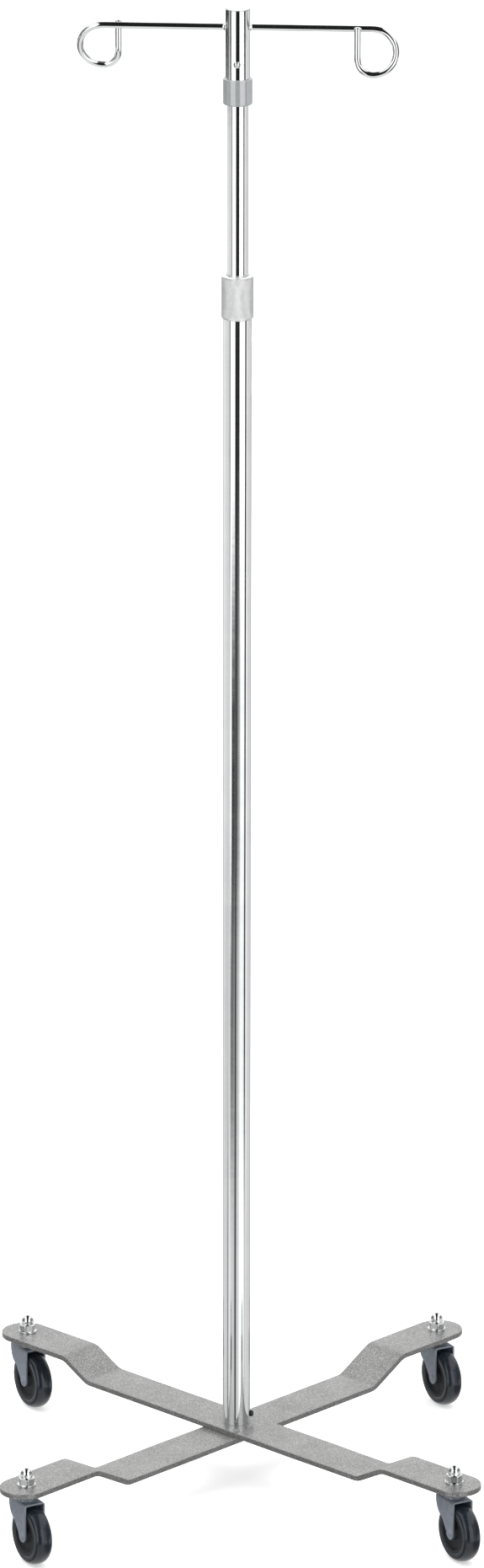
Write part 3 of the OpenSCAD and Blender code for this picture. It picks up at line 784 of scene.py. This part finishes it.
# a turned collar with a diamond knurl: the radius falls by the larger of two crossed sets of sharp grooves
def lockCollarPiece(c, p):
    low, high = heights("lock_collar")
    columns, rows = c["diamondsAround"] * 7, c["diamondsTall"] * 7
    angle = np.arange(columns) * 2 * math.pi / columns
    h = np.linspace(0, 1, rows)[:, None]
    knurlLow, knurlHigh = low + c["plainBand"], high - c["plainBand"]
    z = knurlLow + (knurlHigh - knurlLow) * h
    turns, climbs = c["diamondsAround"] / (2 * math.pi) * angle, c["diamondsTall"] * h
    one = np.abs((turns + climbs) % 1 - 0.5) * 2
    two = np.abs((turns - climbs) % 1 - 0.5) * 2
    fade = np.clip(np.minimum(h, 1 - h) * c["diamondsTall"] * 1.5, 0, 1)
    groove = np.maximum(one, two) ** 2 * fade
    r = c["radius"] - c["knurlDepth"] * groove
    knurl = np.stack([r * np.cos(angle), r * np.sin(angle), z + 0 * angle], axis=-1)
    wide, narrow = p["outerRadius"] + 0.3 * mm, p["innerRadius"] + 0.35 * mm
    face, band = c["radius"] - c["chamfer"], c["plainBand"] * 0.85
    under = rounded([(wide, low + 1.5 * mm), (wide, low, 0.3 * mm), (face, low, 0.4 * mm),
                     (c["radius"], low + band, 0.3 * mm)])[1:]
    over = rounded([(c["radius"], high - band, 0.3 * mm), (face, high, 0.4 * mm),
                    (narrow, high, 0.3 * mm), (narrow, high - 2 * mm)])[:-1]
    inside = np.array([[narrow, high - 2.2 * mm], [p["outerRadius"] - 0.7 * mm, high - 14 * mm],
                       [wide, low + 18 * mm]])
    grid = np.concatenate([spun(under, columns), knurl, spun(over, columns), spun(inside, columns)])
    collar = meshPiece("lockCollar", grid, loopAlong=True, sharp=28)
    dress(collar, "lock_nut", "knurled_alloy", "lock_collar")


lockCollarPiece(lockCollar, pole)
print("pole built")


head = {
    "yaw": -5,
    "collarRadius": 13 * mm,
    "collarStep": 3 * mm,
    "buttonRadius": 3.3 * mm,
    "buttonReach": 13.1 * mm,      # from the pole's axis to the rounded face
    "buttonBack": 6.8 * mm,
    "capRim": 2.3 * mm,
    "capRound": 1.9 * mm,
}


# a turned ring with a step inside, on which the head tube stands
def headCollarPiece(h, p):
    low, high = heights("head_collar")
    r, bore, seat = h["collarRadius"], p["innerRadius"] + 0.3 * mm, p["headRadius"] + 0.05 * mm
    step = low + h["collarStep"]
    outline = rounded([(bore, low, 0.3 * mm), (r - 0.6 * mm, low, 0.3 * mm), (r, low + 0.8 * mm, 0.4 * mm),
                       (r, high, 0.5 * mm), (seat, high, 0.15 * mm), (seat, step),
                       (bore, step)])
    dress(meshPiece("headCollar", spun(outline, 96), loopAlong=True), "head", "grey_collar", "head_collar")


# a turned plug under a low dome with a well rounded rim
def headCapPiece(h, p):
    low, high = heights("head_cap")
    rim, plug = p["headRadius"] + 0.2 * mm, p["headBore"] - 0.05 * mm
    under = high - h["capRim"]
    dome = rounded([(0, low), (plug, low, 0.5 * mm), (plug, under), (rim, under, 0.3 * mm),
                    (rim - 0.15 * mm, high - 0.25 * mm, h["capRound"]), (0, high)])
    outline = dome[dome[:, 0] >= -1e-9]
    dress(meshPiece("headCap", spun(outline, 96)), "head", "cap_light", "head_cap")


# a short turned pin with a half-round face, laid along -Y
def buttonPiece(h):
    low, high = heights("snap_button")
    centre = (low + high) / 2
    r, face, back = h["buttonRadius"], h["buttonReach"], h["buttonBack"]
    sweep = np.radians(np.linspace(0, 90, 15))
    dome = np.stack([r * np.cos(sweep), face - r + r * np.sin(sweep)], axis=-1)
    outline = np.concatenate([[[0, back], [r - 0.2 * mm, back], [r, back + 0.2 * mm]], dome])
    grid = turned(spun(outline, 64), "X", 90)
    grid = moved(turned(grid, "Z", h["yaw"]), 0, 0, centre)
    dress(meshPiece("snapButton", grid), "snap_button", "chrome", "snap_button")


headCollarPiece(head, pole)
headCapPiece(head, pole)
buttonPiece(head)

hooks = {
    "rod": 3 * mm,
    "armUp": 69.1 * mm,
    "reach": 140.1 * mm,
    "loop": 20.3 * mm,
    "turn": 13.7 * mm,
    "lean": 18,
    "weld": 1.1 * mm,
    "weldLength": 2.6 * mm,
    "tipRound": 0.8 * mm,
}


# arm, half turn, quarter turn and upright tip, then evened out so that the bends run into each other
def hookPath(h, tubeRadius):
    turnX = h["reach"] - h["loop"]
    down = 2 * h["loop"] - h["turn"]
    half = np.radians(np.linspace(90, -90, 60))[1:]
    quarter = np.radians(np.linspace(-90, -180, 30))[1:]
    armX = np.linspace(tubeRadius - 1.2 * mm, turnX, 140)
    arm = np.stack([armX, 0 * armX], axis=-1)
    loop = np.stack([turnX + h["loop"] * np.cos(half), h["loop"] * np.sin(half) - h["loop"]], axis=-1)
    turn = np.stack([turnX + h["turn"] * np.cos(quarter), h["turn"] * np.sin(quarter) - down], axis=-1)
    flat = np.concatenate([arm, loop, turn])
    lean = math.radians(h["lean"])
    bent = np.stack([flat[:, 0], flat[:, 1] * math.sin(lean), flat[:, 1] * math.cos(lean)], axis=-1)
    last = bent[-1]
    tipZ = np.linspace(last[2], h["rod"], 50)[1:]
    tip = np.stack([last[0] + 0 * tipZ, last[1] + 0 * tipZ, tipZ], axis=-1)
    path = np.concatenate([bent, tip])
    along = np.concatenate([[0], np.cumsum(np.linalg.norm(np.diff(path, axis=0), axis=1))])
    even = np.linspace(0, along[-1], 420)
    path = np.stack([np.interp(even, along, path[:, i]) for i in range(3)], axis=-1)
    window = np.hanning(23)
    window = window / window.sum()
    padded = np.concatenate([path[:1] + (path[:1] - path[11:0:-1]), path, 2 * path[-1:] - path[-2:-13:-1]])
    return np.stack([np.convolve(padded[:, i], window, "valid") for i in range(3)], axis=-1)


# circles square to a path: side = Y made square to the path, the other side is their cross product
def rodGrid(path, radii, columns=40):
    ahead = np.gradient(path, axis=0)
    ahead = ahead / np.linalg.norm(ahead, axis=1, keepdims=True)
    side = np.array([0.0, 1.0, 0.0]) - ahead[:, 1:2] * ahead
    side = side / np.linalg.norm(side, axis=1, keepdims=True)
    other = np.cross(ahead, side)
    angle = np.arange(columns) * 2 * math.pi / columns
    ring = side[:, None] * np.cos(angle)[:, None] + other[:, None] * np.sin(angle)[:, None]
    return path[:, None] + ring * radii[:, None, None]


def hookPiece(name, node, turn, h, p):
    armHeight = heights("head_collar")[0] + h["armUp"]
    path = hookPath(h, p["headRadius"])
    length = np.concatenate([[0], np.cumsum(np.linalg.norm(np.diff(path, axis=0), axis=1))])
    fromTip = length[-1] - length
    # the weld flares the rod's root; the tip's edge is rounded over
    flare = np.clip(1 - (path[:, 0] - p["headRadius"] + 0.3 * mm) / h["weldLength"], 0, 1) ** 2
    flare = flare * (length < 12 * mm)
    edge = np.clip(h["tipRound"] - fromTip, 0, h["tipRound"])
    radii = h["rod"] + h["weld"] * flare - h["tipRound"] + np.sqrt(h["tipRound"] ** 2 - edge ** 2)
    extra = h["rod"] - h["tipRound"]
    grid = rodGrid(path, radii)
    cap = np.stack([path[-1] + (grid[-1] - path[-1]) * s for s in (extra / h["rod"] * 0.6, 0.0)])
    root = path[0] + 0 * grid[:1]
    grid = np.concatenate([root, grid, cap])
    return dress(meshPiece(name, moved(turned(grid, "Z", turn), 0, 0, armHeight)), "head", "chrome", node)


hookPiece("hookRight", "hook_right", head["yaw"], hooks, pole)
hookPiece("hookLeft", "hook_left", head["yaw"] + 180, hooks, pole)
print("head built")


caster = {
    "trail": 10 * mm,
    "gap": 17.6 * mm,
    "sheet": 1.6 * mm,
    "bend": 1.8 * mm,
    "tip": 5.8 * mm,
    "length": 30.5 * mm,
    "domeFoot": 9.5 * mm,
    "domeTop": 8.3 * mm,
    "domeHeight": 3.2 * mm,
    "wheelRadius": 27.5 * mm,
    "wheelWidth": 16.6 * mm,
    "crown": 5 * mm,
    "hubRadius": 18.5 * mm,
    "rimWall": 2.2 * mm,
    "boss": 6.2 * mm,
    "webDepth": 2.6 * mm,
    "webMiddle": 11.2 * mm,
    "ribs": 8,
    "ribHeight": 1.4 * mm,
    "sleeve": 3.58 * mm,
    "axle": 2.35 * mm,
    "axleHead": 3.7 * mm,
    "axleDome": 0.85 * mm,
}


# the sheet's middle surface: rows follow its bent cross-section, and columns run from its back edge
# to its front one
def forkGrid(c, plateHigh, domeHigh):
    axle = c["wheelRadius"]
    half = c["gap"] / 2 + c["sheet"] / 2
    top = plateHigh - c["sheet"] / 2
    front, back = c["trail"] + c["tip"], c["trail"] + c["tip"] - c["length"]
    tipSweep = np.radians(np.linspace(-90, 0, 13))
    legZ = np.concatenate([axle + c["tip"] * np.sin(tipSweep), np.linspace(axle, top - c["bend"], 34)[1:]])
    bend = np.radians(np.linspace(0, 90, 8))[1:]
    bendY = half - c["bend"] + c["bend"] * np.cos(bend)
    bendZ = top - c["bend"] + c["bend"] * np.sin(bend)
    topY = np.linspace(half - c["bend"], -(half - c["bend"]), 41)[1:-1]
    y = np.concatenate([np.full(len(legZ), half), bendY, topY, -bendY[::-1], np.full(len(legZ), -half)])
    z = np.concatenate([legZ, bendZ, np.full(len(topY), top), bendZ[::-1], legZ[::-1]])
    # back edge: round tip, straight up the leg, then a curve out to the back of the plate
    t = np.linspace(0, 1, 24)
    start, pull = (back + 11 * mm, 38.5 * mm), (back + 1.5 * mm, 42 * mm)
    end = (back, plateHigh - c["sheet"] - 4 * mm)
    curveX, curveZ = (start[i] * (1 - t) ** 2 + pull[i] * 2 * t * (1 - t) + end[i] * t ** 2 for i in (0, 1))
    edgeZ = np.concatenate([[axle], curveZ, [plateHigh + 1]])
    edgeX = np.concatenate([[c["trail"] - c["tip"]], curveX, [back]])
    below = np.sqrt(np.clip(c["tip"] ** 2 - np.clip(axle - z, 0, c["tip"]) ** 2, 0, None))
    backX = np.where(z < axle, c["trail"] - below, np.interp(z, edgeZ, edgeX))
    frontX = np.where(z < axle, c["trail"] + below, front)
    q = np.linspace(0, 1, 49)
    x = backX[:, None] + (frontX - backX)[:, None] * q
    reach = np.hypot(x, y[:, None])
    dome = np.clip((c["domeFoot"] - reach) / (c["domeFoot"] - c["domeTop"]), 0, 1)
    dome = dome * dome * (3 - 2 * dome) * (domeHigh - plateHigh) * (np.abs(z - top) < 0.01 * mm)[:, None]
    return np.stack([x, y[:, None] + 0 * x, z[:, None] + dome], axis=-1)


def toCorner(points, name):
    axis = wheelJoints[name]["axis"]
    yaw = math.degrees(math.atan2(-axis[0], axis[1]))
    return moved(turned(points, "Z", yaw), *stems[name])


def applyModifiers(piece):
    bpy.context.view_layer.update()
    graph = bpy.context.evaluated_depsgraph_get()
    mesh = bpy.data.meshes.new_from_object(piece.evaluated_get(graph))
    piece.modifiers.clear()
    piece.data = mesh
    mesh.set_sharp_from_angle(angle=math.radians(38))


def forkPiece(name, c):
    low, high = heights("fork_" + name)
    plateHigh = high - c["domeHeight"]
    grid = toCorner(forkGrid(c, plateHigh, high), name)
    piece = meshPiece("fork_piece_" + name, grid, loopAround=False)
    wall = piece.modifiers.new("wall", "SOLIDIFY")
    wall.thickness = c["sheet"]
    wall.offset = 0
    wall.use_even_offset = True
    easing = piece.modifiers.new("easing", "BEVEL")
    easing.width = 0.35 * mm
    easing.segments = 2
    easing.limit_method = "ANGLE"
    easing.angle_limit = math.radians(50)
    applyModifiers(piece)
    dress(piece, "caster_" + name, "fork_grey", "fork_" + name)


# puts a shape spun about Z onto the wheel's axle, which lies along Y
def onAxle(points, c):
    return moved(turned(points, "X", 90), c["trail"], 0, c["wheelRadius"])


# moulded tread: an elliptical crown with a faint parting line, and a bead where it grips the hub
def tyrePiece(name, c):
    half = c["wheelWidth"] / 2
    sweep = np.radians(np.linspace(-90, 90, 45))
    parting = 0.12 * mm * np.exp(-(np.degrees(sweep) / 2.2) ** 2)
    crown = c["wheelRadius"] - c["crown"] * (1 - np.cos(sweep)) - parting
    crown = np.stack([crown, half * np.sin(sweep)], axis=-1)
    inner = c["hubRadius"]
    wall = rounded([(crown[-1, 0], half), (inner + 1.4 * mm, half, 0.4 * mm),
                    (inner + 1.0 * mm, half - 0.5 * mm, 0.3 * mm), (inner, half - 0.5 * mm, 0.2 * mm),
                    (inner, 0)])[1:-1]
    other = wall[::-1] * [1, -1]
    outline = np.concatenate([crown, wall, other])
    grid = toCorner(onAxle(spun(outline, 112), c), name)
    tread = meshPiece("tread_" + name, grid, loopAlong=True, sharp=40)
    dress(tread, "wheel_" + name, "tread_black", "tyre_" + name)


# moulded wheel centre: boss, dished web that dips between eight ribs, and rim
def hubPiece(name, c):
    half = c["wheelWidth"] / 2
    boss = c["gap"] / 2 - 0.25 * mm
    rim, outer = c["hubRadius"] - c["rimWall"], c["hubRadius"] - 0.05 * mm
    web, edge = half - c["webDepth"], half - 0.4 * mm
    side = rounded([(c["sleeve"], 0), (c["sleeve"], boss, 0.3 * mm), (c["boss"], boss, 0.5 * mm),
                    (c["boss"] + 0.6 * mm, web, 0.5 * mm), (rim - 0.6 * mm, web, 0.5 * mm),
                    (rim, edge, 0.4 * mm), (outer, edge, 0.3 * mm), (outer, 0)], 4)
    outline = np.concatenate([side, side[1:-1][::-1] * [1, -1]])
    columns = 192
    grid = spun(outline, columns)
    angle = np.arange(columns) * 2 * math.pi / columns
    rib = np.exp(-((((angle * c["ribs"] / (2 * math.pi)) % 1) - 0.5) * 7) ** 2)
    r = np.hypot(grid[..., 0], grid[..., 1])
    inWeb = np.exp(-((r - c["webMiddle"]) / (3.4 * mm)) ** 4)
    grid[..., 2] += np.sign(grid[..., 2]) * inWeb * rib * c["ribHeight"]
    dress(meshPiece("hub_" + name, toCorner(onAxle(grid, c), name), loopAlong=True), "wheel_" + name,
          "hub_black", "wheel_hub_" + name)


# rivet: a plain shank with a low domed head at each end
def axlePiece(name, c):
    half = c["gap"] / 2 + c["sheet"]
    sweep = np.radians(np.linspace(0, 90, 8))
    dome = np.stack([c["axleHead"] * np.cos(sweep), half + c["axleDome"] * np.sin(sweep)], axis=-1)
    outline = np.concatenate([dome[::-1], [[c["axle"], half]]])
    full = np.concatenate([outline, outline[::-1] * [1, -1]])
    grid = toCorner(onAxle(spun(full, 48), c), name)
    dress(meshPiece("axleRivet_" + name, grid), "caster_" + name, "fork_grey", "axle_" + name)


# a turned cup, open below, that the balls run in
def cupPiece(name):
    low, high = heights("race_cup_" + name)
    reach = (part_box("race_cup_" + name)[1].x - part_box("race_cup_" + name)[0].x) / 2
    bore, inner = 4.05 * mm, reach - 0.8 * mm
    outline = rounded([(bore, high - 2.5 * mm), (bore, high), (reach, high, 0.6 * mm), (reach, low, 0.2 * mm),
                       (inner, low, 0.2 * mm), (inner, high - 2.5 * mm)])
    grid = toCorner(spun(outline, 72), name)
    dress(meshPiece("raceCup_piece_" + name, grid, loopAlong=True), "base", "zinc", "race_cup_" + name)


for cornerName in cornerNames:
    forkPiece(cornerName, caster)
    tyrePiece(cornerName, caster)
    hubPiece(cornerName, caster)
    axlePiece(cornerName, caster)
    cupPiece(cornerName)
print("casters built")


slotOf = {row["node"]: row["material_slot"] for row in frame["record"]["subparts"]}
for nodeName, part in frame["nodes"].items():
    if part.hide_render:
        continue
    part.data.materials.clear()
    part.data.materials.append(finishes[slotOf[nodeName]])
    print("kept from the design:", nodeName)
